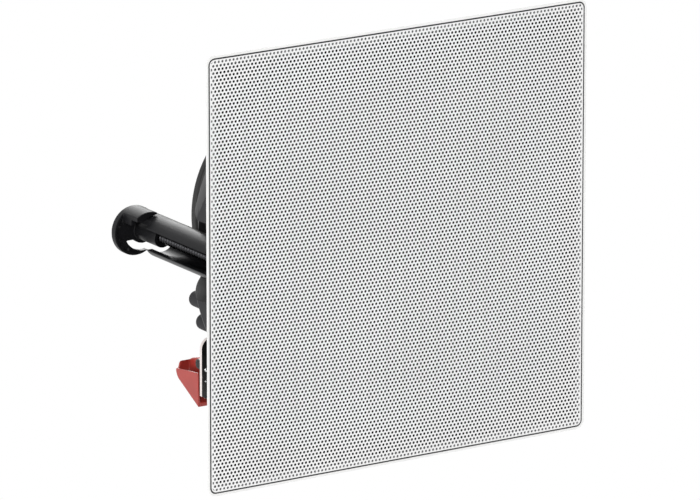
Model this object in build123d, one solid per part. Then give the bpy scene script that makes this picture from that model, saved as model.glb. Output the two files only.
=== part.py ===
# Square in-wall loudspeaker with a flush perforated grille and two screw clamps, in millimetres.
# The origin is the centre of the front frame on the wall's surface.
# +X is to the right seen from the room, +Y goes into the wall and +Z is up.

from math import asin, cos, hypot, radians, sin, sqrt
import os

from build123d import *

# Front frame: a moulded tray that the grille drops into
frame_side = 231.5
frame_corner = 4.75
frame_stand_off = 3.0
rim_width = 1.25
rim_lip = 0.8
flange_thickness = 1.0
frame_opening_corner = 40.0
frame_step = 0.8
ledge_width = 5.0
ledge_drop = 1.0

# Grille: a folded steel sheet with a cloth scrim behind it
grille_gap = 0.8
grille_sheet = 0.5
grille_seat_gap = 0.1
ledge_gap = 0.3
scrim_thickness = 0.3
scrim_margin = 3.4
drop_in_gap = 0.2
seal_gap = 0.05
seal_sink = 0.1
magnet_radius = 2.0
magnet_thickness = 1.0
magnets_per_side = 3
magnet_spacing = 80.0

# Chassis: the baffle, the four corner legs of the bucket and the ring that holds the motor
wall_cutout_side = 206.0
cutout_clearance = 2.0
chassis_corner = 8.0
frame_seat_overlap = 2.6
baffle_thickness = 4.6
bucket_front_radius = 112.0
bucket_rear_radius = 66.0
bucket_rear_depth = 80.0
bucket_bulge_radius = 145.0
bucket_wall = 4.0
leg_rib_depth = 13.0
leg_rib_width = 3.0
window_width = 42.0
window_front = 12.0
window_rear = 72.0
window_corner = 7.0
motor_ring_thickness = 4.0
motor_ring_bore = 30.0
collar_radius = 53.0
collar_wall = 3.0
collar_length = 18.0
boss_radius = 4.5
boss_length = 8.0
screw_radius = 1.5
hole_gap = 0.05
screw_head_radius = 3.0
sunk_head_depth = 1.4
screw_head_height = 1.6
frame_screw_offset = 91.0

# Woofer: cone, surround, spider and voice coil
surround_radius = 70.0
surround_roll = 4.0
surround_thickness = 0.8
surround_land = 5.6
rebate_depth = 2.1
cone_lip = 3.2
cone_thickness = 0.9
cone_neck_lip = 1.8
cone_depth = 36.0
cone_neck_gap = 0.05
coil_radius = 20.1
former_wall = 0.4
former_length = 56.0
winding_thickness = 0.6
winding_length = 10.0
spider_thickness = 0.7
spider_waves = 4
spider_wave_height = 1.4

# Motor: ferrite ring between two steel plates, with a pole through the middle
top_plate_radius = 54.0
top_plate_thickness = 6.0
air_gap = 1.1
magnet_ring_radius = 57.0
magnet_ring_bore = 26.0
magnet_ring_thickness = 15.0
yoke_radius = 58.0
yoke_thickness = 6.0
yoke_chamfer = 1.2
pole_radius = 19.0
pole_proud = 2.0
pole_bore = 8.0

# Tweeter on a post at the centre of the cone
post_fit = 0.05
post_insert = 16.0
post_radius = 9.0
post_flange_radius = 14.0
post_flange_thickness = 2.0
tweeter_front = 12.0
tweeter_radius = 17.0
tweeter_length = 17.0
tweeter_wall = 2.0
tweeter_magnet_radius = 12.0
tweeter_magnet_thickness = 7.0
dome_radius = 12.5
dome_height = 4.0
dome_thickness = 0.5
faceplate_thickness = 1.5

# Clamps: a channel, a long screw and a foot that runs along both
clamp_offset = 93.0
channel_radius = 10.6
channel_wall = 2.8
channel_opening = 10.8
channel_rear = 78.5
tongue_length = 14.5
clamp_base_length = 20.0
clamp_base_height = 34.0
clamp_base_thickness = 3.0
gusset_thickness = 2.6
gusset_reach = 7.5
gusset_length = 58.0
clamp_screw_radius = 3.0
clamp_screw_bore_gap = 0.2
clamp_screw_rear = 101.5
clamp_head_radius = 4.6
clamp_head_height = 2.4
clamp_head_gap = 0.3
clamp_head_sink = 2.2
drive_slot_width = 1.2
drive_slot_length = 6.0
drive_slot_depth = 1.4
hub_radius = 5.3
hub_length = 20.0
hub_bore_gap = 0.05
pad_radius = 13.0
pad_offset = 4.5
pad_front = 96.5
pad_thickness = 2.9
pad_rim = 1.6
pad_rim_height = 0.8
channel_clearance = 0.5
jaw_length = 14.0
jaw_step_length = 8.0
jaw_reach = 7.5
jaw_bottom = 8.5
jaw_step_bottom = 5.5
pip_radius = 0.8
pip_height = 0.6
pip_rim_gap = 0.2
pip_angles = (157.5, 202.5, 247.5)

# Crossover board, its posts and the wire pegs on the lower left leg
board_left = -66.0
board_right = -6.0
board_top = -60.0
board_bottom = -96.0
board_front = 83.0
board_thickness = 2.0
board_corner = 6.0
board_chamfer = 8.0
board_chamfer_height = 4.8
post_holes = ((-58.0, -66.0), (-27.0, -66.0), (-36.0, -91.5))
board_post_radius = 3.6
pegs = ((-60.0, -42.5, 100.0), (-57.0, -54.9, 98.0))
peg_radius = 4.3
peg_round = 2.4
inductor_centre = (-30.0, -81.0)
inductor_radius = 8.5
inductor_core_radius = 3.0
inductor_length = 11.0
inductor_flange = 1.2
inductor_wire_gap = 0.3
capacitor_centre = (-13.0, -79.0)
capacitor_radius = 6.5
capacitor_length = 19.0
capacitor_round = 1.0

# Terminal block with a red and a black lever
block_thickness = 3.0
block_height = 20.0
block_top = -71.0
lever_inset = 1.0
lever_spacing = 4.0
lever_width = 9.0
lever_cheek = 1.4
lever_wall = 1.5
lever_side_gap = 0.5
lever_face_gap = 0.5
lever_pivot_radius = 3.0
lever_pivot_drop = 5.0
lug_radius = 2.7
lever_pin_radius = 1.6
lever_pin_gap = 0.05
lever_reach = 29.2
lever_drop = 4.8
lever_tip_drop = 22.5
lever_round = 6.0
near_cheek_drop = 3.9
near_cheek_tip_drop = 7.6

nodes = {}


def slab(outline, front, rear):
    """Extrude an outline drawn in X and Z from the depth front to the depth rear."""
    rear_plane = Plane(origin=(0, rear, 0), x_dir=(1, 0, 0), z_dir=(0, -1, 0))
    return extrude(rear_plane * outline, amount=rear - front)


def rod(x, z, radius, front, rear):
    """A round bar along the depth."""
    return slab(Pos(x, z) * Circle(radius), front, rear)


def turned(*points):
    """Turn a closed outline of (radius, depth) points about the speaker's axis."""
    return revolve(make_face(Polyline(*points, close=True)), Axis.Y)


def block(left, right, front, rear, bottom, top):
    """A plain box between six limits."""
    middle = ((left + right) / 2, (front + rear) / 2, (bottom + top) / 2)
    return Pos(*middle) * Box(right - left, rear - front, top - bottom)


def side_profile(outline, left, right):
    """Extrude an outline drawn in depth and height across X."""
    side_plane = Plane(origin=(left, 0, 0), x_dir=(0, 1, 0), z_dir=(1, 0, 0))
    return extrude(side_plane * outline, amount=right - left)


# Levels from front to back
frame_front = -frame_stand_off
tray_floor = -flange_thickness
sheet_rear = frame_front + grille_sheet
baffle_front = frame_step
baffle_rear = baffle_front + baffle_thickness
rebate_floor = baffle_front + rebate_depth
top_plate_front = bucket_rear_depth
magnet_front = top_plate_front + top_plate_thickness
yoke_front = magnet_front + magnet_ring_thickness
yoke_rear = yoke_front + yoke_thickness
pole_front = top_plate_front - pole_proud
collar_front = bucket_rear_depth - motor_ring_thickness - collar_length
board_rear = board_front + board_thickness

# Widths shared by the frame, the grille and the chassis
tray_side = frame_side - 2 * rim_width
grille_side = tray_side - 2 * grille_gap
grille_inner_side = grille_side - 2 * grille_sheet
ledge_side = grille_inner_side - 2 * ledge_gap
ledge_inner_side = ledge_side - 2 * ledge_width
scrim_side = grille_side - 2 * scrim_margin
chassis_side = wall_cutout_side - 2 * cutout_clearance
frame_opening = chassis_side - 2 * frame_seat_overlap
tray_corner = frame_corner - rim_width
grille_corner = tray_corner - grille_gap
ledge_corner = grille_corner - grille_sheet - ledge_gap
ledge_front = sheet_rear + ledge_drop
channel_bore = channel_radius - channel_wall
clamp_base_centre = clamp_offset + channel_bore - clamp_base_length / 2
base_rear = baffle_rear + clamp_base_thickness
corners = [(sx * frame_screw_offset, sz * frame_screw_offset) for sx in (-1, 1) for sz in (-1, 1)]


def sunk_head(x, z, radius):
    """The cone under a countersunk screw's flat head."""
    cone = Cone(radius, radius - sunk_head_depth, sunk_head_depth).rotate(Axis.X, -90)
    return Pos(x, tray_floor + sunk_head_depth / 2, z) * cone


# Front frame with its rim, ledge, magnet pockets and screw holes
chamfer_depth = frame_stand_off - rim_lip
frame = slab(RectangleRounded(frame_side, frame_side, frame_corner), frame_front, 0)
frame = chamfer(frame.faces().sort_by(Axis.Y)[-1].edges(), chamfer_depth)
frame -= slab(RectangleRounded(tray_side, tray_side, tray_corner), frame_front, tray_floor)
ledge = RectangleRounded(ledge_side, ledge_side, ledge_corner)
ledge -= RectangleRounded(ledge_inner_side, ledge_inner_side, ledge_corner)
frame += slab(ledge, ledge_front, tray_floor)
frame += slab(RectangleRounded(chassis_side, chassis_side, chassis_corner), 0, frame_step)
frame -= slab(RectangleRounded(frame_opening, frame_opening, frame_opening_corner), tray_floor, frame_step)
for x, z in corners:
    frame -= rod(x, z, screw_radius + hole_gap, tray_floor, frame_step)
    frame -= sunk_head(x, z, screw_head_radius + hole_gap)

magnet_line = (ledge_side - ledge_width) / 2
magnet_steps = [(i - (magnets_per_side - 1) / 2) * magnet_spacing for i in range(magnets_per_side)]
magnet_spots = [(side * magnet_line, step) for side in (-1, 1) for step in magnet_steps]
magnet_spots += [(step, side * magnet_line) for side in (-1, 1) for step in magnet_steps]
pocket_floor = ledge_front + magnet_thickness
for x, z in magnet_spots:
    frame -= rod(x, z, magnet_radius + hole_gap, ledge_front, pocket_floor)
nodes["front_frame"] = frame
nodes["grille_magnets"] = Compound(
    [rod(x, z, magnet_radius, ledge_front, pocket_floor).solid() for x, z in magnet_spots]
)

# Grille sheet folded back all round, and the scrim glued to its back
fold_rear = tray_floor - grille_seat_gap
grille = slab(RectangleRounded(grille_side, grille_side, grille_corner), frame_front, fold_rear)
grille -= slab(
    RectangleRounded(grille_inner_side, grille_inner_side, grille_corner - grille_sheet),
    sheet_rear,
    fold_rear,
)
nodes["grille"] = grille
seal_outer = tray_side - 2 * seal_gap
seal_inner = grille_side + 2 * seal_gap
seal = RectangleRounded(seal_outer, seal_outer, tray_corner - seal_gap)
seal -= RectangleRounded(seal_inner, seal_inner, grille_corner + seal_gap)
nodes["edge_seal"] = slab(seal, frame_front + seal_sink, tray_floor)
scrim = RectangleRounded(scrim_side, scrim_side, ledge_corner)
nodes["grille_scrim"] = slab(scrim, sheet_rear, sheet_rear + scrim_thickness)

# Screws that hold the frame to the chassis
frame_screws = []
for x, z in corners:
    screw = rod(x, z, screw_radius, tray_floor, baffle_rear + boss_length)
    screw += sunk_head(x, z, screw_head_radius)
    frame_screws.append(screw.solid())
nodes["frame_screws"] = Compound(frame_screws)


# Chassis: the bucket's outline is one arc between its front and rear radius
def bucket_arc_centre():
    """Centre of the bucket's outline arc, in radius and depth."""
    across = bucket_rear_radius - bucket_front_radius
    along = bucket_rear_depth - baffle_rear
    chord = hypot(across, along)
    to_centre = sqrt(bucket_bulge_radius**2 - (chord / 2) ** 2)
    middle = ((bucket_front_radius + bucket_rear_radius) / 2, (baffle_rear + bucket_rear_depth) / 2)
    return middle[0] - to_centre * along / chord, middle[1] + to_centre * across / chord


arc_radius, arc_depth = bucket_arc_centre()


def bucket_depth(radius):
    """Depth of the bucket's outer surface at a radius."""
    return arc_depth + sqrt(bucket_bulge_radius**2 - (radius - arc_radius) ** 2)


def bucket_radius(depth, inset=0.0):
    """Radius of the bucket's outline at a depth, moved in by an inset."""
    return arc_radius + sqrt((bucket_bulge_radius - inset) ** 2 - (depth - arc_depth) ** 2)


def bucket_band(thickness):
    """The bucket's wall as a full ring of one thickness."""
    middle = (baffle_rear + bucket_rear_depth) / 2
    outer = [(bucket_radius(d), d) for d in (baffle_rear, middle, bucket_rear_depth)]
    inner = [(bucket_radius(d, thickness), d) for d in (bucket_rear_depth, middle, baffle_rear)]
    edges = ThreePointArc(*outer) + Line(outer[2], inner[0])
    edges += ThreePointArc(*inner) + Line(inner[2], outer[0])
    return revolve(make_face(edges), Axis.Y)


half_window = window_width / 2
half_chassis = chassis_side / 2
window_middle = (window_front + window_rear) / 2
window_outline = RectangleRounded(window_rear - window_front, window_width, window_corner)
window_outline = Pos(window_middle, 0) * window_outline
side_windows = side_profile(window_outline, -bucket_front_radius, bucket_front_radius)
top_windows = side_windows.rotate(Axis.Y, 90)
cutout_prism = slab(RectangleRounded(chassis_side, chassis_side, chassis_corner), 0, bucket_rear_depth)

rib_far = half_window + leg_rib_width
rib_plates = block(-half_chassis, half_chassis, 0, bucket_rear_depth, -rib_far, rib_far)
rib_plates -= block(-half_chassis, half_chassis, 0, bucket_rear_depth, -half_window, half_window)
side_ribs = bucket_band(leg_rib_depth) & rib_plates
legs = bucket_band(bucket_wall) + side_ribs + side_ribs.rotate(Axis.Y, 90)
legs = (legs - side_windows - top_windows) & cutout_prism
base_space_length = clamp_base_length + 2 * channel_clearance
base_space_height = clamp_base_height + 2 * channel_clearance
for side in (-1, 1):
    legs -= rod(side * clamp_offset, 0, channel_radius + channel_clearance, baffle_rear, channel_rear)
    base_space = Pos(side * clamp_base_centre, 0) * Rectangle(base_space_length, base_space_height)
    legs -= slab(base_space, baffle_rear, base_rear + channel_clearance)

ring_front = bucket_rear_depth - motor_ring_thickness
motor_ring = turned(
    (motor_ring_bore, ring_front),
    (bucket_radius(ring_front), ring_front),
    (bucket_rear_radius, bucket_rear_depth),
    (motor_ring_bore, bucket_rear_depth),
)
collar_bore = collar_radius - collar_wall
collar = turned(
    (collar_bore, collar_front),
    (collar_radius, collar_front),
    (collar_radius, ring_front),
    (collar_bore, ring_front),
)

opening_radius = surround_radius + surround_roll + surround_thickness
rebate_radius = opening_radius + surround_land
baffle = slab(RectangleRounded(chassis_side, chassis_side, chassis_corner), baffle_front, baffle_rear)
baffle -= rod(0, 0, opening_radius, baffle_front, baffle_rear)
baffle -= rod(0, 0, rebate_radius, baffle_front, rebate_floor)
head_seat = baffle_front + clamp_head_sink
clamp_screw_bore = clamp_screw_radius + clamp_screw_bore_gap
for side in (-1, 1):
    baffle -= rod(side * clamp_offset, 0, clamp_screw_bore, baffle_front, baffle_rear)
    baffle -= rod(side * clamp_offset, 0, clamp_head_radius + clamp_head_gap, baffle_front, head_seat)

chassis = baffle + legs + motor_ring + collar
for x, z in corners:
    chassis += rod(x, z, boss_radius, baffle_rear, baffle_rear + boss_length)
    chassis -= rod(x, z, screw_radius + hole_gap, baffle_front, baffle_rear + boss_length)
for x, z in post_holes:
    foot_depth = bucket_depth(hypot(x, z) + board_post_radius) - bucket_wall
    chassis += rod(x, z, board_post_radius, foot_depth, board_front)
    chassis -= rod(x, z, screw_radius + hole_gap, board_front - boss_length, board_front)
for x, z, rear in pegs:
    peg = rod(x, z, peg_radius, bucket_depth(hypot(x, z) + peg_radius) - bucket_wall, rear)
    chassis += fillet(peg.edges().sort_by(Axis.Y)[-1], peg_round)
nodes["chassis"] = chassis


# Surround, trim ring, cone, spider and voice coil
land_front = rebate_floor - surround_thickness
roll_outer = surround_roll + surround_thickness / 2
roll_inner = surround_roll - surround_thickness / 2
roll_middle = rebate_floor - surround_thickness / 2
inner_land_end = surround_radius - surround_roll - cone_lip
outer_land_end = rebate_radius - drop_in_gap
surround_roll_ring = turned(
    (surround_radius - roll_outer, land_front),
    (inner_land_end, land_front),
    (inner_land_end, rebate_floor),
    (surround_radius - roll_outer, rebate_floor),
)
surround_roll_ring += turned(
    (surround_radius + roll_inner, land_front),
    (outer_land_end, land_front),
    (outer_land_end, rebate_floor),
    (surround_radius + roll_inner, rebate_floor),
)
roll_face = Pos(surround_radius, roll_middle) * (Circle(roll_outer) - Circle(roll_inner))
roll_face &= Pos(surround_radius, roll_middle + roll_outer / 2) * Rectangle(2 * roll_outer, roll_outer)
roll_start = turned(
    (surround_radius - roll_outer, land_front),
    (surround_radius - roll_inner, land_front),
    (surround_radius - roll_inner, rebate_floor),
    (surround_radius - roll_outer, rebate_floor),
)
nodes["surround"] = surround_roll_ring + revolve(roll_face, Axis.Y) + roll_start
nodes["trim_ring"] = turned(
    (opening_radius, baffle_front),
    (outer_land_end, baffle_front),
    (outer_land_end, land_front),
    (opening_radius, land_front),
)

cone_edge = surround_radius - roll_outer - drop_in_gap
cone_neck = coil_radius + cone_neck_gap
neck_depth = rebate_floor + cone_depth
cone_lip_rear = rebate_floor + cone_thickness
cone_rise = ((inner_land_end + cone_neck) / 2 + cone_lip, (rebate_floor + neck_depth) / 2 - cone_lip)
cone_front_side = ThreePointArc((inner_land_end, rebate_floor), cone_rise, (cone_neck, neck_depth))
cone_rear_side = ThreePointArc(
    (cone_neck, neck_depth + cone_neck_lip),
    (cone_rise[0] + cone_thickness, cone_rise[1] + cone_thickness),
    (inner_land_end + cone_thickness, cone_lip_rear),
)
cone_edges = [
    Line((cone_edge, rebate_floor), (inner_land_end, rebate_floor)),
    cone_front_side,
    Line((cone_neck, neck_depth), (cone_neck, neck_depth + cone_neck_lip)),
    cone_rear_side,
    Line((inner_land_end + cone_thickness, cone_lip_rear), (cone_edge, cone_lip_rear)),
    Line((cone_edge, cone_lip_rear), (cone_edge, rebate_floor)),
]
nodes["cone"] = revolve(make_face(cone_edges), Axis.Y)

former_inner = coil_radius - former_wall
former_rear = neck_depth + former_length
nodes["coil_former"] = turned(
    (former_inner, neck_depth),
    (coil_radius, neck_depth),
    (coil_radius, former_rear),
    (former_inner, former_rear),
)
winding_middle = top_plate_front + top_plate_thickness / 2
winding_front = winding_middle - winding_length / 2
nodes["voice_coil"] = turned(
    (coil_radius + cone_neck_gap, winding_front),
    (coil_radius + winding_thickness, winding_front),
    (coil_radius + winding_thickness, winding_front + winding_length),
    (coil_radius + cone_neck_gap, winding_front + winding_length),
)

spider_span = collar_radius - drop_in_gap - cone_neck
spider_step = spider_span / (2 * spider_waves + 1)
spider_rear = [(cone_neck, collar_front)]
for i in range(1, 2 * spider_waves + 1):
    lift = spider_wave_height if i % 2 else 0.0
    spider_rear.append((cone_neck + i * spider_step, collar_front - lift))
spider_rear.append((collar_radius - drop_in_gap, collar_front))
spider_front = [(r, d - spider_thickness) for r, d in reversed(spider_rear)]
nodes["spider"] = turned(*spider_rear, *spider_front)

# Motor
plate_bore = coil_radius + air_gap
nodes["top_plate"] = turned(
    (plate_bore, top_plate_front),
    (top_plate_radius, top_plate_front),
    (top_plate_radius, magnet_front),
    (plate_bore, magnet_front),
)
nodes["magnet_ring"] = turned(
    (magnet_ring_bore, magnet_front),
    (magnet_ring_radius, magnet_front),
    (magnet_ring_radius, yoke_front),
    (magnet_ring_bore, yoke_front),
)
nodes["yoke"] = turned(
    (pole_bore, pole_front),
    (pole_radius, pole_front),
    (pole_radius, yoke_front),
    (yoke_radius - yoke_chamfer, yoke_front),
    (yoke_radius, yoke_front + yoke_chamfer),
    (yoke_radius, yoke_rear - yoke_chamfer),
    (yoke_radius - yoke_chamfer, yoke_rear),
    (pole_bore, yoke_rear),
)

# Tweeter: post, cup, magnet, dome and faceplate
cup_rear = tweeter_front + tweeter_length
post_rear = pole_front - post_flange_thickness
nodes["tweeter_post"] = turned(
    (0, cup_rear),
    (post_radius, cup_rear),
    (post_radius, post_rear),
    (post_flange_radius, post_rear),
    (post_flange_radius, pole_front),
    (pole_bore - post_fit, pole_front),
    (pole_bore - post_fit, pole_front + post_insert),
    (0, pole_front + post_insert),
)
cup_bore = tweeter_radius - tweeter_wall
cup_front = tweeter_front + faceplate_thickness
nodes["tweeter_cup"] = turned(
    (cup_bore, cup_front),
    (tweeter_radius, cup_front),
    (tweeter_radius, cup_rear),
    (0, cup_rear),
    (0, cup_rear - tweeter_wall),
    (cup_bore, cup_rear - tweeter_wall),
)
tweeter_magnet_rear = cup_rear - tweeter_wall
nodes["tweeter_magnet"] = rod(
    0, 0, tweeter_magnet_radius, tweeter_magnet_rear - tweeter_magnet_thickness, tweeter_magnet_rear
)
nodes["tweeter_faceplate"] = turned(
    (dome_radius + drop_in_gap, tweeter_front),
    (tweeter_radius, tweeter_front),
    (tweeter_radius, cup_front),
    (dome_radius + drop_in_gap, cup_front),
)


def cap_points(radius, height):
    """Rim, middle and top of a spherical cap that rises from the faceplate's rear."""
    sphere = (radius**2 + height**2) / (2 * height)
    half_angle = asin(radius / sphere) / 2
    top = cup_front - height
    return (radius, cup_front), (sphere * sin(half_angle), top + sphere * (1 - cos(half_angle))), (0, top)


outer_cap = cap_points(dome_radius, dome_height)
inner_cap = cap_points(dome_radius - dome_thickness, dome_height - dome_thickness)
dome_edges = [
    ThreePointArc(*outer_cap),
    Line(outer_cap[2], inner_cap[2]),
    ThreePointArc(*reversed(inner_cap)),
    Line(inner_cap[0], outer_cap[0]),
]
dome_edge_width = cup_bore - dome_radius - hole_gap
dome_flange = turned(
    (dome_radius - dome_thickness, cup_front),
    (dome_radius + dome_edge_width, cup_front),
    (dome_radius + dome_edge_width, cup_front + dome_thickness),
    (dome_radius - dome_thickness, cup_front + dome_thickness),
)
nodes["tweeter_dome"] = revolve(make_face(dome_edges), Axis.Y) + dome_flange


# Clamps are drawn at the left and mirrored to the right
axis_x = -clamp_offset
pad_x = axis_x - pad_offset


def channel_section(outer, inner, opening):
    """The channel's C: a ring that is open on the outer side."""
    ring = Circle(outer) - Circle(inner)
    return Pos(axis_x, 0) * (ring - Pos(-outer / 2, 0) * Rectangle(outer, opening))


channel = slab(channel_section(channel_radius, channel_bore, channel_opening), baffle_rear, channel_rear)
tongue_half = channel_opening / 2
tongue = channel_section(channel_radius, channel_bore, channel_opening)
tongue &= Pos(axis_x, tongue_half + channel_radius / 2) * Rectangle(2 * tongue_half, channel_radius)
channel += slab(tongue, channel_rear, channel_rear + tongue_length)
base_outline = Pos(-clamp_base_centre, 0) * Rectangle(clamp_base_length, clamp_base_height)
base = slab(base_outline, baffle_rear, base_rear)
base -= rod(axis_x, 0, hub_radius + channel_clearance, baffle_rear, base_rear)
gusset_x = axis_x + channel_bore + (channel_wall - gusset_thickness) / 2
gusset_edge = -channel_radius - gusset_reach
gusset_outline = make_face(
    Polyline(
        (baffle_rear, 0),
        (baffle_rear, gusset_edge),
        (base_rear, gusset_edge),
        (baffle_rear + gusset_length, -channel_bore),
        (baffle_rear + gusset_length, 0),
        close=True,
    )
)
gusset = side_profile(gusset_outline, gusset_x, gusset_x + gusset_thickness)
clamp_channel = channel + base + gusset

head_rear = head_seat - clamp_head_gap
head_front = head_rear - clamp_head_height
clamp_screw = rod(axis_x, 0, clamp_head_radius, head_front, head_rear)
clamp_screw += rod(axis_x, 0, clamp_screw_radius, head_rear, clamp_screw_rear)
slot_outline = Rectangle(drive_slot_length, drive_slot_width) + Rectangle(drive_slot_width, drive_slot_length)
clamp_screw -= slab(Pos(axis_x, 0) * slot_outline, head_front, head_front + drive_slot_depth)

# Foot: a round pad with slots for the channel, a threaded hub and a jaw at the top
slot = channel_section(
    channel_radius + channel_clearance,
    channel_bore - channel_clearance,
    channel_opening - 2 * channel_clearance,
)
pad_rear = pad_front + pad_thickness
pad = rod(pad_x, 0, pad_radius, pad_front, pad_rear)
rim = Pos(pad_x, 0) * (Circle(pad_radius) - Circle(pad_radius - pad_rim))
pad += slab(rim, pad_front - pad_rim_height, pad_front)
jaw_right = axis_x - pad_x
foot = pad
for bottom, length in ((jaw_bottom, jaw_length), (jaw_step_bottom, jaw_step_length)):
    jaw_box = Rectangle(jaw_right + jaw_reach, pad_radius - bottom)
    jaw_box = Pos((jaw_right - jaw_reach) / 2, (pad_radius + bottom) / 2) * jaw_box
    jaw = slab(Pos(pad_x, 0) * (Circle(pad_radius) & jaw_box), pad_front - length, pad_front)
    foot += jaw - rod(axis_x, 0, channel_radius + channel_clearance, pad_front - length, pad_front)
pip_circle = pad_radius - pad_rim - pip_rim_gap - pip_radius
for angle in pip_angles:
    pip_x = pad_x + pip_circle * cos(radians(angle))
    foot += rod(pip_x, pip_circle * sin(radians(angle)), pip_radius, pad_front - pip_height, pad_front)
foot -= slab(slot, pad_front - jaw_length, pad_rear)
foot += rod(axis_x, 0, hub_radius, pad_front - hub_length, pad_rear)
foot -= rod(axis_x, 0, clamp_screw_radius + hub_bore_gap, pad_front - hub_length, pad_rear)

for name, piece in (("clamp_channel", clamp_channel), ("clamp_screw", clamp_screw), ("clamp_foot", foot)):
    nodes[name + "_left"] = piece
    nodes[name + "_right"] = mirror(piece, about=Plane.YZ)


# Crossover board with its parts
board_outline = make_face(
    Polyline(
        (board_left, board_top),
        (board_right, board_top),
        (board_right, board_bottom),
        (board_left + board_chamfer, board_bottom),
        (board_left, board_bottom + board_chamfer_height),
        close=True,
    )
)
round_corners = board_outline.vertices().group_by(Axis.Y)[-1]
board_outline = fillet(round_corners, board_corner)
board = slab(board_outline, board_front, board_rear)
for x, z in post_holes:
    board -= rod(x, z, screw_radius + hole_gap, board_front, board_rear)
nodes["crossover_board"] = board

board_screws = []
for x, z in post_holes:
    screw = rod(x, z, screw_head_radius, board_rear, board_rear + screw_head_height)
    screw += rod(x, z, screw_radius, board_front - boss_length, board_rear)
    board_screws.append(screw.solid())
nodes["board_screws"] = Compound(board_screws)

coil_x, coil_z = inductor_centre
flange_rear = board_rear + inductor_flange
bobbin_rear = board_rear + inductor_length
bobbin = rod(coil_x, coil_z, inductor_radius, board_rear, flange_rear)
bobbin += rod(coil_x, coil_z, inductor_core_radius, flange_rear, bobbin_rear - inductor_flange)
bobbin += rod(coil_x, coil_z, inductor_radius, bobbin_rear - inductor_flange, bobbin_rear)
nodes["inductor_bobbin"] = bobbin
wire = Circle(inductor_radius - inductor_wire_gap) - Circle(inductor_core_radius + hole_gap)
nodes["inductor_winding"] = slab(Pos(coil_x, coil_z) * wire, flange_rear, bobbin_rear - inductor_flange)
can = rod(*capacitor_centre, capacitor_radius, board_rear, board_rear + capacitor_length)
nodes["capacitor"] = fillet(can.edges().sort_by(Axis.Y)[-1], capacitor_round)

# Terminal block with a lug for each lever, the hinge pin and the hollow levers
red_left = board_left + lever_inset
black_left = red_left + lever_width + lever_spacing
black_right = black_left + lever_width
base_face = board_rear + block_thickness
pivot_depth = base_face + lever_face_gap + lever_pivot_radius
pivot_height = block_top - lever_pivot_drop
pivot = Pos(pivot_depth, pivot_height)
lug_inset = lever_cheek + lever_side_gap
lug_neck = pivot_depth - base_face
lug_outline = Circle(lug_radius) + Pos(-lug_neck / 2, 0) * Rectangle(lug_neck, 2 * lug_radius)
block_left = red_left + lug_inset
terminal = block(block_left, black_right, board_rear, base_face, block_top - block_height, block_top)
for left in (red_left, black_left):
    terminal += side_profile(pivot * lug_outline, left + lug_inset, left + lever_width - lug_inset)
pin_hole = side_profile(pivot * Circle(lever_pin_radius + lever_pin_gap), red_left, black_right)
nodes["terminal_block"] = terminal - pin_hole
nodes["lever_pin"] = side_profile(pivot * Circle(lever_pin_radius), block_left, black_right)

lever_outline = make_face(
    Polyline(
        (-lever_pivot_radius, 0),
        (0, lever_pivot_radius),
        (lever_reach, -lever_drop),
        (-lever_pivot_radius, -lever_tip_drop),
        close=True,
    )
)
lever_outline = fillet(lever_outline.vertices().sort_by(Axis.X)[-1], lever_round)
lever_outline += Circle(lever_pivot_radius)
near_cheek_cut = make_face(
    Polyline(
        (-lever_pivot_radius, -near_cheek_drop),
        (lever_reach, -near_cheek_tip_drop),
        (lever_reach, lever_pivot_radius),
        (-lever_pivot_radius, lever_pivot_radius),
        close=True,
    )
)
for name, left in (("red_lever", red_left), ("black_lever", black_left)):
    lever = side_profile(pivot * lever_outline, left, left + lever_width)
    hollow = pivot * Pos(-lever_wall, lever_wall) * lever_outline
    lever -= side_profile(hollow, left + lever_cheek, left + lever_width - lever_cheek)
    lever -= side_profile(pivot * near_cheek_cut, left, left + lever_cheek)
    nodes[name] = lever - pin_hole

os.makedirs("parts", exist_ok=True)
for name, piece in nodes.items():
    export_step(piece, f"parts/{name}.step")
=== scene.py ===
# Looks of a square in-wall loudspeaker, piece by piece in the order in which it is put together.
# Lengths are in metres, in the frame of the solids: +X right from the room, +Y into the wall, +Z up.

from math import cos, pi, radians, sin, sqrt

import bmesh
import bpy
from mathutils import Matrix, Vector


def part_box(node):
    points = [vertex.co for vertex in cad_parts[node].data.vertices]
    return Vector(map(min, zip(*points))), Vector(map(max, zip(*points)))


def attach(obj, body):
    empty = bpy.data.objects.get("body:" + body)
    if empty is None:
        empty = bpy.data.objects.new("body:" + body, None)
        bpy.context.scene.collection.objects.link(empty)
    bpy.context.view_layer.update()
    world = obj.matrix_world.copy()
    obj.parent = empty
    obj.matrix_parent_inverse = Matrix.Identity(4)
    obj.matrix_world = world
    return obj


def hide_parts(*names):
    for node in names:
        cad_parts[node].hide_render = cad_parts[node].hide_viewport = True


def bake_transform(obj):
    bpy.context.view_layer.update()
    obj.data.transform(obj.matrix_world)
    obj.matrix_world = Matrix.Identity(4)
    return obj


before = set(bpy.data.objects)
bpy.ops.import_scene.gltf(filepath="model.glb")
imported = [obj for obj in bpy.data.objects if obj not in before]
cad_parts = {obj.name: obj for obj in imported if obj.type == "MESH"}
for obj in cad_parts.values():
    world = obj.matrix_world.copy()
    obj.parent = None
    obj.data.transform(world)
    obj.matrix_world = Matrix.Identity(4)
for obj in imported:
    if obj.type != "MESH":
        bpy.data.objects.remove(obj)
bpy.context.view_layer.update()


# Front frame: one white ABS moulding, a slim rim round a tray with a raised ledge inside it.
# The tool's fine spark-eroded grain leaves it satin, so highlights on the rim are broad and soft.
MM = 0.001
weld_distance = 0.002 * MM
flat_angle = radians(0.5)
sharp_angle = radians(40)
smooth_angle = radians(35)
noise_low = 0.3
noise_high = 0.7
rim_round = 0.15 * MM
abs_grain_depth = 0.02 * MM
frame_grain_width = 0.7 * MM
frame_flow_width = 40 * MM


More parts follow.
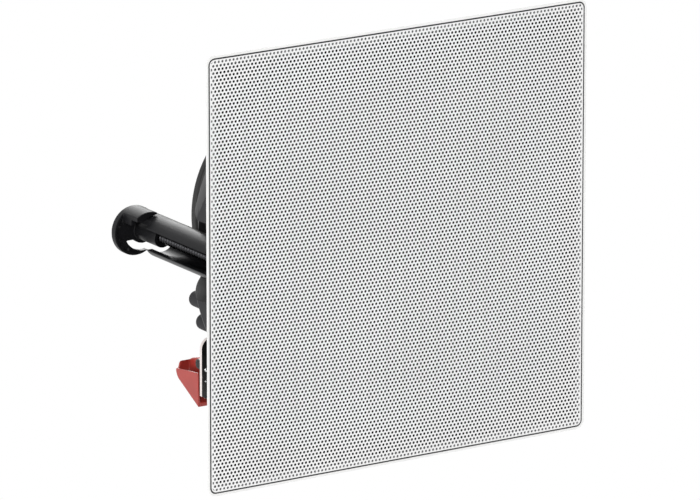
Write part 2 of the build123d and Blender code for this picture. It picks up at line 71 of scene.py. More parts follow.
def linear(hex_colour):
    """An sRGB hex value as the linear colour that a shader takes."""
    channels = [int(hex_colour[i:i + 2], 16) / 255 for i in (1, 3, 5)]
    return (*[c / 12.92 if c < 0.04045 else ((c + 0.055) / 1.055) ** 2.4 for c in channels], 1.0)


def add_node(tree, kind, settings=(), **inputs):
    """Add a shader node with its settings, each input either linked from a socket or set to a value."""
    node = tree.nodes.new("ShaderNode" + kind)
    for name, value in dict(settings).items():
        setattr(node, name, value)
    for name, value in inputs.items():
        socket = node.inputs[name.replace("_", " ")]
        if isinstance(value, bpy.types.NodeSocket):
            tree.links.new(value, socket)
        else:
            socket.default_value = value
    return node


def start_material(name, **values):
    """A new material with its shader values set, and the object coordinates that its patterns read."""
    material = bpy.data.materials.new(name)
    material.use_nodes = True
    shader = material.node_tree.nodes["Principled BSDF"]
    for key, value in values.items():
        shader.inputs[key.replace("_", " ")].default_value = value
    place = add_node(material.node_tree, "TexCoord").outputs["Object"]
    return material, material.node_tree, shader, place


def finish_surface(tree, shader, pattern, colours, roughness, relief=None, relief_depth=0):
    """Spread a pattern over a range of colours and of roughness, and press in a relief if there is one."""
    ramp = add_node(tree, "ValToRGB", Fac=pattern)
    for stop, position, colour in zip(ramp.color_ramp.elements, (noise_low, noise_high), colours):
        stop.position = position
        stop.color = linear(colour)
    tree.links.new(ramp.outputs["Color"], shader.inputs["Base Color"])
    smoothest, roughest = roughness
    sheen = add_node(
        tree, "MapRange", Value=pattern, From_Min=noise_low, From_Max=noise_high,
        To_Min=smoothest, To_Max=roughest
    )
    tree.links.new(sheen.outputs["Result"], shader.inputs["Roughness"])
    if relief is not None:
        bump = add_node(tree, "Bump", Height=relief, Distance=relief_depth)
        tree.links.new(bump.outputs["Normal"], shader.inputs["Normal"])


def new_piece(bm, name, material, body, slot, *replaced):
    """Turn a bmesh into a piece of one material that rides on a body and stands for CAD nodes."""
    mesh = bpy.data.meshes.new(name)
    bm.to_mesh(mesh)
    bm.free()
    mesh.materials.append(material)
    mesh.shade_smooth()
    mesh.set_sharp_from_angle(angle=smooth_angle)
    piece = bpy.data.objects.new(name, mesh)
    bpy.context.scene.collection.objects.link(piece)
    if body:
        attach(piece, body)
    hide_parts(*replaced)
    return piece


def welded_copy(node):
    """A bmesh of a CAD node with its loose triangles joined."""
    bm = bmesh.new()
    bm.from_mesh(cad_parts[node].data)
    bmesh.ops.remove_doubles(bm, verts=bm.verts[:], dist=weld_distance)
    return bm


def round_edges(name, material, body, slot, node, edge_round):
    """A copy of a CAD node with its sharp edges rounded, which stands in the node's place."""
    bm = welded_copy(node)
    bmesh.ops.dissolve_limit(bm, angle_limit=flat_angle, verts=bm.verts[:], edges=bm.edges[:])
    sharp = [edge for edge in bm.edges if edge.is_manifold and edge.calc_face_angle() > sharp_angle]
    bmesh.ops.bevel(
        bm, geom=sharp, offset=edge_round, offset_type="OFFSET", affect="EDGES", segments=2, profile=0.5,
        clamp_overlap=False, material=-1
    )
    piece = new_piece(bm, name, material, body, slot, node)
    piece.modifiers.new("even_shading", "WEIGHTED_NORMAL").keep_sharp = True


white_abs, tree, shader, place = start_material("spark_eroded_white_abs", IOR=1.53)
grain = add_node(tree, "TexNoise", Vector=place, Scale=1 / frame_grain_width, Detail=2.0).outputs["Fac"]
flow = add_node(tree, "TexNoise", Vector=place, Scale=1 / frame_flow_width, Detail=2.0).outputs["Fac"]
finish_surface(tree, shader, flow, ("#ededec", "#f3f3f2"), (0.42, 0.5), grain, abs_grain_depth)
round_edges("frame_moulding", white_abs, "speaker", "white_moulding", "front_frame", rim_round)


# Grille magnets: small nickel-plated discs pressed into the frame's ledge.
# The plating is bright, with a faint mottle from the tumbling barrel.
mottle_width = 1.5 * MM


def dress(material, *names):
    """Give CAD nodes their material."""
    for name in names:
        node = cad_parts[name]
        node.data.materials.clear()
        node.data.materials.append(material)


nickel, tree, shader, place = start_material("barrel_plated_nickel", Metallic=1.0)
mottle = add_node(tree, "TexNoise", Vector=place, Scale=1 / mottle_width, Detail=3.0).outputs["Fac"]
finish_surface(tree, shader, mottle, ("#b9b3a6", "#d5d0c5"), (0.18, 0.3))
dress(nickel, "grille_magnets", "tweeter_magnet")


# Edge seal: a thin black rubber strip set back in the gap between the grille and the frame's rim.
# It is extruded and matt, and its black is partly painted shade: it stands for the shade in that gap, a fine
# dark line all round from the front.
bloom_width = 6 * MM
rubber, tree, shader, place = start_material("matt_black_rubber", IOR=1.52)
bloom = add_node(tree, "TexNoise", Vector=place, Scale=1 / bloom_width, Detail=3.0).outputs["Fac"]
finish_surface(tree, shader, bloom, ("#1b1b1c", "#242425"), (0.6, 0.75))
# Painted shade: the seal's black darkens the gap as its shadow would.
dress(rubber, "edge_seal")


# Grille: one steel sheet, punched all over with round holes in staggered rows and powder coated white.
# The punch breaks out wider at the back. The edges are folded back into the frame, where magnets hold them.
# The coat's fine orange peel keeps it matt, so the sheet is an even white from every side.
grille_low, grille_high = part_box("grille")
hole_pitch = 2.2 * MM
row_pitch = hole_pitch * sqrt(3) / 2
hole_radius = 0.73 * MM
hole_sides = 8
rim_reach = 1.05 * hole_radius
break_out = 1.29
sheet_thickness = 0.5 * MM
sheet_corner = 2.7 * MM
corner_steps = 6
corner_cut_angles = (22.5, 45, 67.5)
plain_margin = 0.55 * MM
grid_weld = 0.01 * MM
half_sheet = grille_high.x
half_punched = half_sheet - plain_margin
spare_columns = 3
columns = int(2 * half_sheet / hole_pitch) + spare_columns
band_count = 4
band_rows = 30
peel_width = 0.9 * MM
peel_depth = 0.015 * MM
coat_cloud_width = 60 * MM


def everything(bm):
    """All the vertices, edges and faces of a bmesh."""
    return bm.verts[:] + bm.edges[:] + bm.faces[:]


def repeat(bm, count, step):
    """Copy all that a bmesh holds in a straight line, so that it is there count times."""
    copied = everything(bm)
    for _ in range(count - 1):
        copied = bmesh.ops.duplicate(bm, geom=copied)["geom"]
        moved = [part for part in copied if isinstance(part, bmesh.types.BMVert)]
        bmesh.ops.translate(bm, verts=moved, vec=step)


def trim(bm, point, outward):
    """Cut away what lies outside a plane."""
    bmesh.ops.bisect_plane(bm, geom=everything(bm), plane_co=point, plane_no=outward, clear_outer=True)


def thicken(bm, depth):
    """Extrude flat upright faces back to a closed solid, and give its rear points."""
    extruded = bmesh.ops.extrude_face_region(bm, geom=bm.faces[:])["geom"]
    rear = [part for part in extruded if isinstance(part, bmesh.types.BMVert)]
    bmesh.ops.translate(bm, verts=rear, vec=(0, depth, 0))
    bmesh.ops.recalc_face_normals(bm, faces=bm.faces[:])
    return rear


powder_coat, tree, shader, place = start_material("powder_coated_white_steel", IOR=1.5)
peel = add_node(tree, "TexNoise", Vector=place, Scale=1 / peel_width, Detail=2.0).outputs["Fac"]
cloud = add_node(tree, "TexNoise", Vector=place, Scale=1 / coat_cloud_width, Detail=1.0).outputs["Fac"]
finish_surface(tree, shader, cloud, ("#f1f1f1", "#f5f5f5"), (0.5, 0.58), peel, peel_depth)

upright = Matrix.Rotation(pi / 2, 4, "X")
first_column = -(columns - 1) / 2 * hole_pitch - hole_pitch / 4
for band in range(band_count):
    bm = bmesh.new()
    bmesh.ops.create_circle(bm, segments=hole_sides, radius=hole_radius, matrix=upright)
    border = bmesh.ops.extrude_edge_only(bm, edges=bm.edges[:])["geom"]
    for vert in border:
        if isinstance(vert, bmesh.types.BMVert):
            across = round(vert.co.x / hole_radius)
            up = round(vert.co.z / hole_radius)
            vert.co = (across * hole_pitch / 2, 0, up * row_pitch / 2)
    first_row = (band - band_count / 2) * band_rows * row_pitch
    bmesh.ops.translate(bm, verts=bm.verts[:], vec=(first_column, grille_low.y, first_row))
    repeat(bm, columns, (hole_pitch, 0, 0))
    repeat(bm, 2, (hole_pitch / 2, 0, row_pitch))
    repeat(bm, band_rows // 2, (0, 0, 2 * row_pitch))
    bmesh.ops.remove_doubles(bm, verts=bm.verts[:], dist=grid_weld)
    for side in (-1, 1):
        trim(bm, (side * half_punched, 0, 0), (side, 0, 0))
        trim(bm, (0, 0, side * half_punched), (0, 0, side))
        for end in (-1, 1):
            corner_centre = Vector((side, 0, end)) * (half_sheet - sheet_corner)
            for angle in corner_cut_angles:
                outward = Vector((side * cos(radians(angle)), 0, end * sin(radians(angle))))
                trim(bm, corner_centre + outward * (sheet_corner - plain_margin), outward)
    for vert in thicken(bm, sheet_thickness):
        row = round((vert.co.z - first_row) / row_pitch)
        row_start = first_column + row % 2 * hole_pitch / 2
        column = round((vert.co.x - row_start) / hole_pitch)
        centre = Vector((row_start + column * hole_pitch, vert.co.y, first_row + row * row_pitch))
        clear_of_margin = max(abs(centre.x), abs(centre.z)) + break_out * hole_radius < half_punched
        if clear_of_margin and (vert.co - centre).length < rim_reach:
            vert.co = centre + (vert.co - centre) * break_out
    new_piece(bm, f"grille_band_{band + 1}", powder_coat, "speaker", "white_coated_steel", "grille")


def rounded_plate(bm, half_side, corner, front):
    """A flat face with rounded corners that stands upright at a depth."""
    standing = Matrix.Translation((0, front, 0)) @ upright
    bmesh.ops.create_grid(bm, x_segments=1, y_segments=1, size=half_side, matrix=standing)
    bmesh.ops.bevel(
        bm, geom=bm.verts[:], offset=corner, affect="VERTICES", segments=corner_steps, profile=0.5,
        material=-1
    )
    return bm.faces[:]


def flat_ring(half_side, corner, width, front, depth):
    """A square ring with rounded corners that stands upright and is thickened backwards."""
    bm = bmesh.new()
    plate = rounded_plate(bm, half_side, corner, front)
    inset = bmesh.ops.inset_region(bm, faces=plate, thickness=width, use_boundary=True, use_even_offset=True)
    ring = inset["faces"]
    bmesh.ops.delete(bm, geom=[face for face in bm.faces if face not in ring], context="FACES")
    thicken(bm, depth)
    return bm


sheet_rear = grille_low.y + sheet_thickness
for name, width, front, rear in (
    ("grille_margin", plain_margin, grille_low.y, sheet_rear),
    ("grille_fold", sheet_thickness, sheet_rear, grille_high.y),
):
    bm = flat_ring(half_sheet, sheet_corner, width, front, rear - front)
    new_piece(bm, name, powder_coat, "speaker", "white_coated_steel", "grille")


# Felt strip: soft grey tape laid round the frame's ledge, which keeps the grille from buzzing on it.
# Its grey is painted shade: it fills the room outside the scrim, so the holes along the grille's border look
# grey as in shadow.
felt_width = 2.4 * MM
felt_thickness = 0.8 * MM
felt_half_side = 112.8 * MM
felt_corner = 1.9 * MM
felt_fibre_width = 0.4 * MM
felt_fibre_depth = 0.08 * MM
ledge_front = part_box("grille_magnets")[0].y
shade_grey_felt, tree, shader, place = start_material("pressed_felt_painted_shade", IOR=1.45, Specular_IOR_Level=0.2)
fibre = add_node(tree, "TexNoise", Vector=place, Scale=1 / felt_fibre_width, Detail=4.0).outputs["Fac"]
# Painted shade: the mid grey stands for the shadow behind the border holes.
finish_surface(tree, shader, fibre, ("#6a6a6b", "#7e7e7f"), (0.88, 0.96), fibre, felt_fibre_depth)
bm = flat_ring(felt_half_side, felt_corner, felt_width, ledge_front - felt_thickness, felt_thickness)
new_piece(bm, "border_felt_painted_shade", shade_grey_felt, "speaker", "black_scrim")


# Scrim: a black open-weave polyester cloth, stretched and glued flat to the back of the grille.
# Its threads are too fine to show from where the camera stands, so they are drawn three times as coarse.
scrim_low, scrim_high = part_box("grille_scrim")
scrim_thickness = 0.2 * MM
scrim_corner = 1.9 * MM
glue_gap = 0.02 * MM
thread_spacing = 0.25 * MM
drawn_coarser = 3
thread_depth = 0.05 * MM
wave_rate = 20 / (2 * pi)  # Bands to a unit of length in a wave texture of scale 1
scrim_cloth, tree, shader, place = start_material("woven_black_scrim", IOR=1.45, Specular_IOR_Level=0.2)
weave_scale = 1 / (wave_rate * drawn_coarser * thread_spacing)
warp = add_node(tree, "TexWave", {"bands_direction": "X"}, Vector=place, Scale=weave_scale, Distortion=0.5)
weft = add_node(tree, "TexWave", {"bands_direction": "Z"}, Vector=place, Scale=weave_scale, Distortion=0.5)
crossing = add_node(tree, "Math", {"operation": "MULTIPLY"})
tree.links.new(warp.outputs["Fac"], crossing.inputs[0])
tree.links.new(weft.outputs["Fac"], crossing.inputs[1])
weave = crossing.outputs["Value"]
finish_surface(tree, shader, weave, ("#0b0b0c", "#161617"), (0.85, 0.95), weave, thread_depth)
bm = bmesh.new()
rounded_plate(bm, scrim_high.x, scrim_corner, scrim_low.y + glue_gap)
thicken(bm, scrim_thickness)
scrim = new_piece(bm, "scrim_cloth", scrim_cloth, "speaker", "black_scrim", "grille_scrim")


# Chassis: one dark grey ABS moulding with the baffle, the bucket's four legs, the motor's ring and the pegs.
# Its etched tool leaves an even, dull grain, so the legs look dark grey with hardly a highlight.
chassis_round = 0.2 * MM
dark_grain_width = 0.6 * MM
dark_flow_width = 25 * MM
grained_abs, tree, shader, place = start_material("grained_dark_abs", IOR=1.53, Specular_IOR_Level=0.12)
grain = add_node(tree, "TexNoise", Vector=place, Scale=1 / dark_grain_width, Detail=2.0).outputs["Fac"]
flow = add_node(tree, "TexNoise", Vector=place, Scale=1 / dark_flow_width, Detail=2.0).outputs["Fac"]
finish_surface(tree, shader, flow, ("#2d2d2f", "#343436"), (0.52, 0.6), grain, abs_grain_depth)
round_edges("chassis_moulding", grained_abs, "speaker", "dark_moulding", "chassis", chassis_round)


# Screws: zinc-plated steel, with countersunk heads in the frame and pan heads on the board.
# The plating, which the motor's front plate has too, is bright and a little cloudy.
zinc_cloud_width = 2.5 * MM
zinc, tree, shader, place = start_material("zinc_plated_steel", Metallic=1.0)
cloud = add_node(tree, "TexNoise", Vector=place, Scale=1 / zinc_cloud_width, Detail=4.0).outputs["Fac"]
finish_surface(tree, shader, cloud, ("#8f9194", "#aaacae"), (0.26, 0.4))
dress(zinc, "frame_screws", "board_screws", "top_plate")


# Surround: a half roll of moulded black rubber that ties the cone's edge to the baffle, under the trim ring.
# It is made in equal sectors, each spun round its own share of the ring.
surround_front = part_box("surround")[0].y
roll_centre = 70.0 * MM
roll_radius = 4.0 * MM
half_skin = 0.4 * MM
land_start = 62.8 * MM
land_end = 80.2 * MM
land_middle = surround_front + half_skin
land_rear = surround_front + 2 * half_skin
roll_steps = 14
sector_count = 20
sector_steps = 6
half_sector = pi / sector_count


def flexing_ring(name, front_line, rear_line, material, slot, node):
    """Spin a section of (radius, depth) points in sectors that reach between the cone and the chassis."""
    section = front_line + rear_line[::-1]
    for sector in range(sector_count):
        middle = 2 * half_sector * sector
        bm = bmesh.new()
        points = [bm.verts.new((radius, depth, 0)) for radius, depth in section]
        edges = [bm.edges.new(pair) for pair in zip(points, points[1:] + points[:1])]
        start = Matrix.Rotation(middle - half_sector, 3, "Y")
        bmesh.ops.rotate(bm, verts=points, cent=(0, 0, 0), matrix=start)
        bmesh.ops.spin(
            bm, geom=points + edges, cent=(0, 0, 0), axis=(0, 1, 0), angle=2 * half_sector, steps=sector_steps
        )
        bmesh.ops.recalc_face_normals(bm, faces=bm.faces[:])
        piece = new_piece(bm, f"{name}_{sector + 1}", material, None, slot, node)
        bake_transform(piece)


front_line = [(land_start, surround_front)]
rear_line = [(land_start, land_rear)]
inner = roll_radius - half_skin
outer = roll_radius + half_skin
for step in range(roll_steps + 1):
    angle = pi * (1 - step / roll_steps)
    lift = -half_skin if step in (0, roll_steps) else 0
    front_line.append((roll_centre + inner * cos(angle), land_middle + inner * sin(angle) + lift))
    rear_line.append((roll_centre + outer * cos(angle), land_middle + outer * sin(angle) - lift))
front_line.append((land_end, surround_front))
rear_line.append((land_end, land_rear))
flexing_ring(
    "surround_sector", front_line, rear_line, rubber, "black_rubber", "surround",
)
dress(rubber, "trim_ring")


# Cone: black pressed paper fibre, curved to its neck, with an aluminium former and a copper coil behind it.
# Pressed fibre is dull and faintly flecked, rolled foil has fine lines along it, and wire shows its turns,
# with painted shade in the grooves between them and a painted highlight on their crests.
fleck_width = 1.2 * MM
fleck_depth = 0.06 * MM
cone_fibre, tree, shader, place = start_material("pressed_black_fibre", IOR=1.45)
fleck = add_node(
    tree, "TexNoise", Vector=place, Scale=1 / fleck_width, Detail=5.0, Roughness=0.7
).outputs["Fac"]
finish_surface(tree, shader, fleck, ("#161617", "#222223"), (0.7, 0.85), fleck, fleck_depth)
dress(cone_fibre, "cone")

roll_line_width = 0.5 * MM
roll_line_stretch = 0.05
rolled_foil, tree, shader, place = start_material("rolled_aluminium", Metallic=1.0)
along = add_node(tree, "Mapping", Vector=place, Scale=(1.0, roll_line_stretch, 1.0)).outputs["Vector"]
lines = add_node(tree, "TexNoise", Vector=along, Scale=1 / roll_line_width, Detail=3.0).outputs["Fac"]
finish_surface(tree, shader, lines, ("#a9abad", "#c6c8c9"), (0.24, 0.36))
dress(rolled_foil, "coil_former", "tweeter_post", "tweeter_dome")

wire_pitch = 0.6 * MM
wire_depth = 0.2 * MM
enamelled_wire, tree, shader, place = start_material("enamelled_copper_wire", Metallic=1.0)
turn_scale = 1 / (wave_rate * wire_pitch)
turns = add_node(tree, "TexWave", {"bands_direction": "Y"}, Vector=place, Scale=turn_scale).outputs["Fac"]
# Painted shade and highlight: the copper runs dark in the grooves between turns and light on their crests.
finish_surface(tree, shader, turns, ("#6d3517", "#b5672f"), (0.24, 0.34), turns, wire_depth)
dress(enamelled_wire, "voice_coil", "inductor_winding")


# Spider: a ring of resin-treated cotton, pressed into concentric waves, which centres the coil.
# It is glued to the former and to the chassis's collar, and is made in sectors as the surround is.
# The resin leaves the cloth tan and dull, with a fine tooth.
spider_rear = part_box("spider")[1].y
cloth_thickness = 0.7 * MM
wave_height = 1.4 * MM
spider_start = 20.15 * MM
spider_end = 52.8 * MM
wave_count = 4
points_per_wave = 8
wave_points = wave_count * points_per_wave
wave_share = 2 * wave_count / (2 * wave_count + 1)
cotton_width = 0.5 * MM
cotton_depth = 0.05 * MM
front_line = []
rear_line = []
for step in range(wave_points + 1):
    radius = spider_start + (spider_end - spider_start) * wave_share * step / wave_points
    lift = wave_height / 2 * (1 - cos(2 * pi * step / points_per_wave))
    front_line.append((radius, spider_rear - cloth_thickness - lift))
    rear_line.append((radius, spider_rear - lift))
front_line.append((spider_end, spider_rear - cloth_thickness))
rear_line.append((spider_end, spider_rear))
treated_cotton, tree, shader, place = start_material("resin_treated_cotton", IOR=1.5)
cotton = add_node(tree, "TexNoise", Vector=place, Scale=1 / cotton_width, Detail=3.0).outputs["Fac"]
finish_surface(tree, shader, cotton, ("#7a5a2a", "#94713a"), (0.6, 0.75), cotton, cotton_depth)
flexing_ring(
    "spider_sector", front_line, rear_line, treated_cotton, "spider_cloth", "spider",
)


# Motor: a ground ferrite ring between a plated front plate and a black steel yoke with its pole.
# Ferrite is a dull charcoal ceramic, and the yoke is blackened and lightly oiled.
yoke_round = 0.5 * MM
grit_width = 0.8 * MM
grit_depth = 0.04 * MM
oil_width = 9 * MM
ferrite, tree, shader, place = start_material("ground_ferrite", IOR=1.9)
grit = add_node(tree, "TexNoise", Vector=place, Scale=1 / grit_width, Detail=4.0).outputs["Fac"]
finish_surface(tree, shader, grit, ("#1d1d1f", "#2b2b2d"), (0.5, 0.66), grit, grit_depth)
dress(ferrite, "magnet_ring")

black_steel, tree, shader, place = start_material("blackened_steel", IOR=1.6, Specular_IOR_Level=0.25)
oil = add_node(tree, "TexNoise", Vector=place, Scale=1 / oil_width, Detail=3.0).outputs["Fac"]
finish_surface(tree, shader, oil, ("#0c0c0d", "#121213"), (0.3, 0.42))
round_edges("yoke_turning", black_steel, "speaker", "black_steel", "yoke", yoke_round)


# Tweeter: an aluminium dome in a glossy black cup, on a turned post at the cone's centre.
# The cup is polished ABS, so it mirrors a little of the room.
drift_width = 12 * MM
black_gloss, tree, shader, place = start_material("polished_black_abs", IOR=1.53)
drift = add_node(tree, "TexNoise", Vector=place, Scale=1 / drift_width, Detail=1.0).outputs["Fac"]
finish_surface(tree, shader, drift, ("#0f0f10", "#151516"), (0.18, 0.26))
dress(black_gloss, "tweeter_cup", "tweeter_faceplate")


# Clamps: a C-shaped channel and a foot behind each side of the baffle, moulded in a smoother, darker ABS.
# A long screw of black-oxide steel, turned from the room, pulls the foot along. Its rolled thread glints.
channel_round = 0.3 * MM
fine_grid = 0.25 * MM
foot_smoothing = 6
smoothing_step = 0.5
faces_kept = 0.3
oxide_width = 3 * MM
thread_pitch = 2.5 * MM
thread_root = 2.3 * MM
thread_crest = 2.95 * MM
thread_sink = 0.05 * MM
flank_start = 0.15
crest_start = 0.42
thread_turns = 37
steps_per_turn = 24
head_height = 2.4 * MM
head_edge = 0.5 * MM
tip_chamfer = 0.6 * MM
shank_steps = 48
screw_weld = 0.001 * MM


def soften(name, material, body, slot, node, smoothing):
    """A copy of a thin CAD node, evenly meshed and smoothed until its edges and corners are rounded."""
    piece = new_piece(welded_copy(node), name, material, body, slot, node)
    even = piece.modifiers.new("even_mesh", "REMESH")
    even.mode = "VOXEL"
    even.voxel_size = fine_grid
    even.use_smooth_shade = True
    smooth = piece.modifiers.new("soft_edges", "SMOOTH")
    smooth.factor = smoothing_step
    smooth.iterations = smoothing
    piece.modifiers.new("fewer_faces", "DECIMATE").ratio = faces_kept


dark_abs, tree, shader, place = start_material("satin_dark_abs", IOR=1.53, Specular_IOR_Level=0.12)
grain = add_node(tree, "TexNoise", Vector=place, Scale=1 / dark_grain_width, Detail=2.0).outputs["Fac"]
flow = add_node(tree, "TexNoise", Vector=place, Scale=1 / dark_flow_width, Detail=2.0).outputs["Fac"]
finish_surface(tree, shader, flow, ("#141416", "#1a1a1c"), (0.3, 0.38), grain, abs_grain_depth)

black_oxide, tree, shader, place = start_material("black_oxide_steel", Metallic=1.0)
oxide = add_node(tree, "TexNoise", Vector=place, Scale=1 / oxide_width, Detail=3.0).outputs["Fac"]
finish_surface(tree, shader, oxide, ("#303032", "#3e3e40"), (0.24, 0.34))

for side in ("left", "right"):
    channel = f"clamp_channel_{side}"
    round_edges(f"{side}_channel", dark_abs, "speaker", "dark_moulding", channel, channel_round)
    foot = f"clamp_foot_{side}"
    soften(f"{side}_foot", dark_abs, f"foot_{side}", "dark_moulding", foot, foot_smoothing)

    screw_low, screw_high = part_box(f"clamp_screw_{side}")
    axis_x = (screw_low.x + screw_high.x) / 2
    about_screw = {"cent": (axis_x, 0, 0), "axis": (0, 1, 0)}
    head_radius = screw_high.x - axis_x
    head_rear = screw_low.y + head_height
    shank_end = screw_high.y - tip_chamfer
    thread_start = shank_end - (thread_turns + 1) * thread_pitch
    ridge = (
        (thread_root - thread_sink, flank_start),
        (thread_crest, crest_start),
        (thread_crest, 1 - crest_start),
        (thread_root - thread_sink, 1 - flank_start),
    )
    bm = bmesh.new()
    points = [
        bm.verts.new((axis_x + radius, thread_start + share * thread_pitch, 0)) for radius, share in ridge
    ]
    edges = [bm.edges.new(pair) for pair in zip(points, points[1:] + points[:1])]
    lead = (0, thread_pitch / steps_per_turn, 0)
    bmesh.ops.spin(bm, geom=points + edges, **about_screw, dvec=lead, angle=2 * pi, steps=steps_per_turn)
    repeat(bm, thread_turns, (0, thread_pitch, 0))
    bmesh.ops.remove_doubles(bm, verts=bm.verts[:], dist=screw_weld)
    bmesh.ops.holes_fill(bm, edges=[edge for edge in bm.edges if edge.is_boundary])

    outline = (
        (0, screw_low.y),
        (head_radius - head_edge, screw_low.y),
        (head_radius, screw_low.y + head_edge),
        (head_radius, head_rear),
        (thread_root, head_rear),
        (thread_root, shank_end),
        (thread_root - tip_chamfer, screw_high.y),
        (0, screw_high.y),
    )
    points = [bm.verts.new((axis_x + radius, depth, 0)) for radius, depth in outline]
    edges = [bm.edges.new(pair) for pair in zip(points, points[1:])]
    bmesh.ops.spin(bm, geom=points + edges, **about_screw, angle=2 * pi, steps=shank_steps, use_merge=True)
    bmesh.ops.remove_doubles(bm, verts=bm.verts[:], dist=screw_weld)
    bmesh.ops.recalc_face_normals(bm, faces=bm.faces[:])
    new_piece(bm, f"{side}_clamp_screw", black_oxide, f"screw_{side}", "black_steel", f"clamp_screw_{side}")


# Crossover board: glass-fibre laminate with a black solder mask on both faces and a bare, pale sawn edge.
# It stands on three posts of the chassis. Its inductor and capacitor are soldered through to the front.
# The mask shines like varnish, and the solder joints are bright with a little frost.
board_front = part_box("crossover_board")[0].y
face_limit = 0.6
mask_flow_width = 8 * MM
frost_width = 0.8 * MM
joint_radius = 1.2 * MM
joint_height = 0.8 * MM
joint_rings = 8
solder_mask, tree, shader, place = start_material("black_solder_mask_on_laminate", IOR=1.5)
facing = add_node(tree, "SeparateXYZ", Vector=add_node(tree, "TexCoord").outputs["Normal"])
flat_face = add_node(tree, "Math", {"operation": "ABSOLUTE"})
tree.links.new(facing.outputs["Y"], flat_face.inputs[0])
layers = add_node(tree, "ValToRGB", Fac=flat_face.outputs["Value"])
layers.color_ramp.interpolation = "CONSTANT"
for stop, position, colour in zip(layers.color_ramp.elements, (0.0, face_limit), ("#e9dfdb", "#0b0b0c")):
    stop.position = position
    stop.color = linear(colour)
tree.links.new(layers.outputs["Color"], shader.inputs["Base Color"])
mask_flow = add_node(tree, "TexNoise", Vector=place, Scale=1 / mask_flow_width, Detail=2.0).outputs["Fac"]
sheen = add_node(
    tree, "MapRange", Value=mask_flow, From_Min=noise_low, From_Max=noise_high, To_Min=0.24, To_Max=0.34
)
tree.links.new(sheen.outputs["Result"], shader.inputs["Roughness"])
dress(solder_mask, "crossover_board")
dress(black_gloss, "inductor_bobbin", "capacitor")

solder, tree, shader, place = start_material("bright_solder", Metallic=1.0)
frost = add_node(tree, "TexNoise", Vector=place, Scale=1 / frost_width, Detail=2.0).outputs["Fac"]
finish_surface(tree, shader, frost, ("#c3c5c6", "#e0e1e2"), (0.16, 0.28))
flattened = Matrix.Diagonal((1, joint_height / joint_radius, 1, 1))
bm = bmesh.new()
for x, z, size in (
    (-63.3, -77.0, 1.0),
    (-63.6, -83.2, 0.45),
    (-53.0, -77.0, 1.0),
    (-48.0, -77.0, 1.0),
    (-39.5, -77.0, 1.0),
    (-33.0, -75.5, 0.9),
    (-27.0, -86.5, 0.9),
    (-15.5, -79.0, 0.9),
    (-10.5, -79.0, 0.9),
):
    seat = Matrix.Translation((x * MM, board_front, z * MM)) @ flattened
    bmesh.ops.create_uvsphere(
        bm, u_segments=2 * joint_rings, v_segments=joint_rings, radius=joint_radius * size, matrix=seat
    )
trim(bm, (0, board_front, 0), (0, 1, 0))
bmesh.ops.holes_fill(bm, edges=[edge for edge in bm.edges if edge.is_boundary])
bmesh.ops.recalc_face_normals(bm, faces=bm.faces[:])
new_piece(bm, "solder_joints", solder, "speaker", "nickel")


# Terminals: a glossy black block with two hollow spring levers, red for one pole and black for the other.
# Block and levers are moulded in polished ABS, so they shine, with edges that are soft to the finger.
# One pin of blackened steel carries both levers.
lever_smoothing = 30
terminal_round = 0.3 * MM
red_gloss, tree, shader, place = start_material("polished_red_abs", IOR=1.53)
drift = add_node(tree, "TexNoise", Vector=place, Scale=1 / drift_width, Detail=1.0).outputs["Fac"]
finish_surface(tree, shader, drift, ("#a4342c", "#b03c34"), (0.3, 0.4))
for colour, gloss in (("red", red_gloss), ("black", black_gloss)):
    lever = f"{colour}_lever"
    soften(f"{lever}_moulding", gloss, f"{lever}_body", f"{colour}_gloss", lever, lever_smoothing)
round_edges("terminal_moulding", black_gloss, "speaker", "black_gloss", "terminal_block", terminal_round)
dress(black_steel, "lever_pin")


# Floor and backdrop: a plain pale sweep well below the speaker, which hangs free as on a wall.
# The camera, and what shines, sees it as white; the light that it gives back stays at a plain level.
floor_drop = 0.45
floor_half = 6.0
room_level = 0.5


def seen_directly(tree):
    """A socket that is 1 for the camera, for mirrors and for glass, and 0 for light that lands on things."""
    rays = add_node(tree, "LightPath").outputs
    shiny = add_node(tree, "Math", {"operation": "MAXIMUM"})
    tree.links.new(rays["Is Glossy Ray"], shiny.inputs[0])
    tree.links.new(rays["Is Transmission Ray"], shiny.inputs[1])
    seen = add_node(tree, "Math", {"operation": "MAXIMUM"})
    tree.links.new(rays["Is Camera Ray"], seen.inputs[0])
    tree.links.new(shiny.outputs["Value"], seen.inputs[1])
    return seen.outputs["Value"]


pale_floor, tree, shader, _ = start_material("pale_studio_floor", Roughness=0.8)
shader.inputs["Base Color"].default_value = linear("#f4f4f4")
white = add_node(tree, "Emission", Color=(1, 1, 1, 1), Strength=1.0)
mixed = add_node(tree, "MixShader", Fac=seen_directly(tree))
tree.links.new(shader.outputs["BSDF"], mixed.inputs[1])
tree.links.new(white.outputs["Emission"], mixed.inputs[2])
tree.links.new(mixed.outputs["Shader"], tree.nodes["Material Output"].inputs["Surface"])

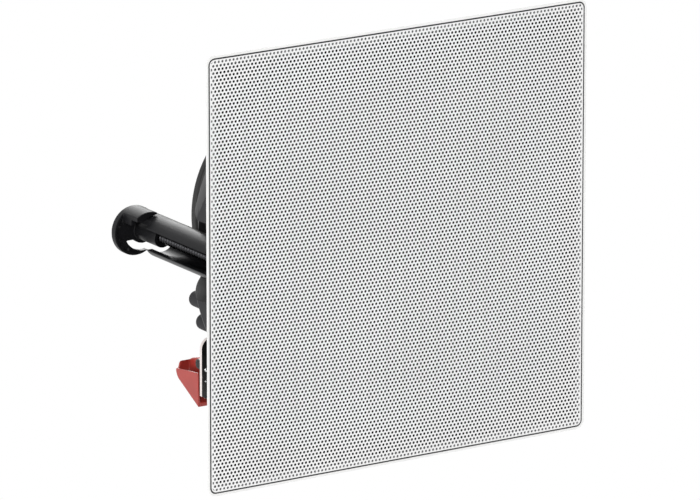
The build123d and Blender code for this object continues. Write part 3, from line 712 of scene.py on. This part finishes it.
bm = bmesh.new()
bmesh.ops.create_grid(bm, x_segments=1, y_segments=1, size=floor_half)
bmesh.ops.translate(bm, verts=bm.verts[:], vec=(0, 0, -floor_drop))
mesh = bpy.data.meshes.new("studio_floor")
bm.to_mesh(mesh)
bm.free()
mesh.materials.append(pale_floor)
floor = bpy.data.objects.new("studio_floor", mesh)
scene = bpy.context.scene
scene.collection.objects.link(floor)

scene.view_settings.view_transform = "Standard"
scene.world = bpy.data.worlds.new("studio")
scene.world.use_nodes = True
tree = scene.world.node_tree
room = tree.nodes["Background"]
room.inputs["Color"].default_value = (1, 1, 1, 1)
level = add_node(tree, "MapRange", Value=seen_directly(tree), To_Min=room_level, To_Max=1.0)
tree.links.new(level.outputs["Result"], room.inputs["Strength"])


# Lamps: large soft boxes in front at the left and right, and smaller ones above, at the left side and behind.
# Each has its place, its width and its power in watts, and is aimed at the middle of the wall cut-out.
for name, spot, size, power in (
    ("left_softbox", (-1.6, -1.6, 0.9), 1.4, 23),
    ("right_softbox", (1.6, -1.8, 0.7), 1.4, 12),
    ("top_softbox", (-0.6, 0.6, 1.8), 1.0, 4),
    ("side_softbox", (-1.7, 0.3, -0.3), 0.7, 10),
    ("rear_softbox", (0.7, 1.9, 0.7), 1.0, 12),
):
    lamp = bpy.data.lights.new(name, "AREA")
    lamp.size = size
    lamp.energy = power
    light = bpy.data.objects.new(name, lamp)
    light.location = spot
    light.rotation_euler = (-Vector(spot)).to_track_quat("-Z", "Y").to_euler()
    scene.collection.objects.link(light)


# Camera: a long lens at the photograph's angle, to the left of the grille and a little above it.
# It is aimed left of the grille's middle, so that the clamp has its room in the picture.
azimuth = radians(-32.78)
elevation = radians(15.38)
distance = 4.490
focal_length = 451.5
sensor_width = 36
far_limit = 50
target = Vector((-0.02983, -0.003, 0.00246))
back = Vector((sin(azimuth) * cos(elevation), -cos(azimuth) * cos(elevation), sin(elevation)))
lens = bpy.data.cameras.new("long_lens")
lens.sensor_width = sensor_width
lens.lens = focal_length
lens.clip_end = far_limit
camera = bpy.data.objects.new("camera", lens)
camera.location = target + back * distance
camera.rotation_euler = (-back).to_track_quat("-Z", "Y").to_euler()
scene.collection.objects.link(camera)
scene.camera = camera
